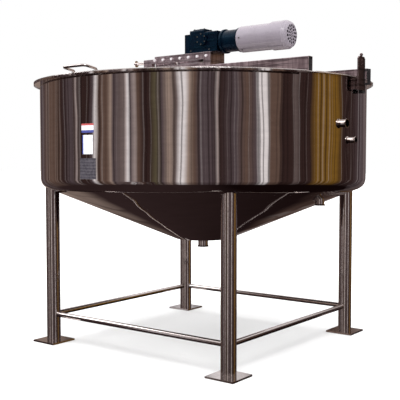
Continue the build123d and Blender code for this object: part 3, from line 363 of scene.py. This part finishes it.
BAR = brushed_bar("brushed_bar", (0.66, 0.55, 0.59), (0.34, 0.26, 0.29))
SPECIAL = {
    "rim_flange": RIM,
    "near_lid": RIM,
    "far_lid": RIM,
    "near_beam": BAR,
    "far_beam": BAR,
    "stand_rails": BAR,
    "stand_posts": BAR,
    "deck_channels": BAR,
    "mounting_plate": BAR,
    "rail_bolts": highlight_bolt(),
    "rim_lug": brushed_bar("lug_steel", (0.26, 0.19, 0.19), (0.15, 0.10, 0.10)),
    "clamp_frame": BLACK,
}

for entry in frame["record"]["subparts"]:
    dress(entry["node"], SPECIAL.get(entry["node"], FINISHES[entry["material_slot"]]))


# ---- camera ---------------------------------------------------------------------------------------
def make_camera():
    """Chest height, a little off the near corner leg, looking slightly down."""
    turn = radians(CAMERA_BEARING)
    spot = Vector((sin(turn) * CAMERA_DISTANCE, -cos(turn) * CAMERA_DISTANCE, CAMERA_HEIGHT))
    ahead = Vector((-sin(turn), cos(turn), 0))
    right = Vector((cos(turn), sin(turn), 0))
    pan = radians(CAMERA_PAN)
    ahead, right = ahead * cos(pan) + right * sin(pan), right * cos(pan) - ahead * sin(pan)
    dip = radians(CAMERA_DIP)
    up = Vector((0, 0, 1))
    look = ahead * cos(dip) - up * sin(dip)
    top = up * cos(dip) + ahead * sin(dip)
    camera = bpy.data.objects.new("camera", bpy.data.cameras.new("camera"))
    bpy.context.scene.collection.objects.link(camera)
    camera.data.sensor_width = CAMERA_SENSOR
    camera.data.lens = CAMERA_LENS
    camera.data.clip_end = CAMERA_REACH
    camera.matrix_world = Matrix((
        (right.x, top.x, -look.x, spot.x),
        (right.y, top.y, -look.y, spot.y),
        (right.z, top.z, -look.z, spot.z),
        (0, 0, 0, 1),
    ))
    bpy.context.scene.camera = camera


# ---- studio ---------------------------------------------------------------------------------------
def stage_mesh(name, points, faces, material):
    mesh = bpy.data.meshes.new(name)
    mesh.from_pydata(points, [], faces)
    thing = bpy.data.objects.new(name, mesh)
    bpy.context.scene.collection.objects.link(thing)
    mesh.materials.append(material)
    return thing


def area_light(name, spot, aim, size, watts):
    light = bpy.data.lights.new(name, "AREA")
    light.size = size
    light.energy = watts
    lamp = bpy.data.objects.new(name, light)
    lamp.location = spot
    lamp.rotation_mode = "QUATERNION"
    lamp.rotation_quaternion = (Vector(aim) - Vector(spot)).to_track_quat("-Z", "Y")
    bpy.context.scene.collection.objects.link(lamp)


def make_floor():
    p = Paint("pale_floor")
    cloud = p.noise(1.2, 4.0, 0.6)
    tone = p.blend(cloud, (0.90, 0.90, 0.90), (0.93, 0.93, 0.93))
    floor = p.finish(base_color=tone, roughness=0.8)
    s = FLOOR_HALF
    thing = stage_mesh("floor", [(-s, -s, 0), (s, -s, 0), (s, s, 0), (-s, s, 0)], [(0, 1, 2, 3)], floor)
    thing.visible_glossy = False


TONES = {
    "white": (1.00, 0.96, 0.98),
    "pale": (0.46, 0.38, 0.37),
    "tan": (0.42, 0.32, 0.27),
    "grey": (0.19, 0.145, 0.14),
    "brown": (0.15, 0.095, 0.075),
    "mauve": (0.105, 0.078, 0.086),
    "ochre": (0.24, 0.125, 0.022),
    "olive": (0.12, 0.10, 0.06),
    "dark": (0.044, 0.024, 0.022),
}
# Walls of the room that the steel mirrors: bearing in degrees from +X, anticlockwise, and tone.
ROOM = (
    (0.0, "dark"), (3.6, "dark"), (7.4, "dark"), (10.5, "grey"), (13.7, "dark"), (22.8, "dark"),
    (29.1, "ochre"), (47.2, "ochre"), (55.5, "dark"), (68.3, "dark"), (86.3, "mauve"),
    (106.8, "grey"), (108.0, "dark"), (118.0, "brown"), (127.0, "white"), (131.0, "dark"),
    (143.0, "tan"), (150.0, "dark"), (155.0, "mauve"), (173.0, "brown"), (190.6, "brown"),
    (196.1, "dark"), (207.1, "mauve"), (209.8, "dark"), (212.0, "pale"), (214.5, "dark"),
    (224.2, "dark"), (228.3, "mauve"), (230.9, "white"), (233.5, "brown"), (240.5, "brown"),
    (243.3, "tan"), (245.3, "mauve"), (252.1, "grey"), (254.3, "pale"), (256.2, "white"),
    (258.3, "mauve"), (261.2, "pale"), (263.7, "brown"), (267.9, "dark"), (272.7, "dark"),
    (276.1, "olive"), (280.1, "mauve"), (284.1, "tan"), (288.3, "grey"), (290.9, "white"),
    (293.9, "white"), (297.1, "tan"), (301.0, "brown"), (304.8, "mauve"), (313.2, "mauve"),
    (315.1, "dark"), (316.1, "pale"), (317.7, "dark"), (328.1, "mauve"), (335.4, "brown"),
    (342.2, "mauve"), (344.6, "white"), (349.4, "white"), (351.9, "brown"), (357.7, "brown"),
    (360.0, "dark"),
)


def room_ramp(p, turn, stops, low, high):
    places = [((bearing - low) / (high - low), TONES[tone]) for bearing, tone in stops]
    share = p.between(turn, low, high)
    return p.node("ShaderNodeValToRGB", {"stops": places}, {"Fac": share})


def make_world():
    """Pale light for everything but mirrors, and a dim room of upright panels for those."""
    p = Paint("world", bpy.data.worlds)
    bpy.context.scene.world = p.material
    axes = [p.node("ShaderNodeSeparateXYZ", {}, {0: p.node("ShaderNodeTexCoord")}, out=i) for i in range(3)]
    turn = p.node("ShaderNodeMath", {"operation": "ARCTAN2"}, {0: axes[1], 1: axes[0]}) * (180 / pi)
    turn = turn + (turn < 0.0) * 360.0
    half = len(ROOM) // 2
    split = ROOM[half][0]
    front = room_ramp(p, turn, ROOM[: half + 1], ROOM[0][0], split)
    back = room_ramp(p, turn, ROOM[half:], split, ROOM[-1][0])
    walls = p.blend(turn > split, front, back)
    wavy = {"W": turn, "Scale": 0.42, "Detail": 3.0}
    streaks = p.node("ShaderNodeTexNoise", {"noise_dimensions": "1D"}, wavy)
    walls = p.blend(p.between(streaks, 0.53, 0.64) * 0.6, walls, (0.018, 0.010, 0.010))
    walls = p.blend(p.between(streaks, 0.42, 0.33) * 0.14, walls, (0.9, 0.84, 0.84))
    sideways = axes[0] * 0.8 + axes[1] * 0.6
    ground = p.blend(p.between(sideways, -0.2, 0.3), (0.034, 0.020, 0.020), (0.007, 0.003, 0.003))
    walls = p.blend(p.between(axes[2], -0.30, -0.10), p.blend(0.5, walls, ground), walls)
    walls = p.blend(p.between(axes[2], -0.46, -0.36), ground, walls)
    walls = p.blend(p.between(axes[2], 0.25, 0.60), walls, (1.15, 1.08, 1.08))
    room = p.node("ShaderNodeBackground", {}, {"Color": walls, "Strength": 1.0})
    dome = p.between(axes[2], -0.1, 0.9, 0.3, 2.5)
    overhead = p.node("ShaderNodeBackground", {}, {"Color": (1, 1, 1, 1), "Strength": dome})
    pale = p.node("ShaderNodeBackground", {}, {"Color": (1, 1, 1, 1), "Strength": 1.0})
    light = p.node("ShaderNodeMixShader", {}, {0: p.node("ShaderNodeLightPath", out=3), 1: overhead, 2: room})
    light = p.node("ShaderNodeMixShader", {}, {0: p.node("ShaderNodeLightPath", out=0), 1: light, 2: pale})
    p.node("ShaderNodeOutputWorld", {}, {"Surface": light})


def make_studio():
    make_floor()
    make_world()
    area_light("key", (4.5, -5.0, 6.5), (0, 0, 1.5), 3.0, 160)
    area_light("fill", (-6.0, -3.0, 5.5), (0, 0, 1.5), 3.0, 100)


make_camera()
make_studio()
bpy.context.scene.view_settings.view_transform = "Standard"
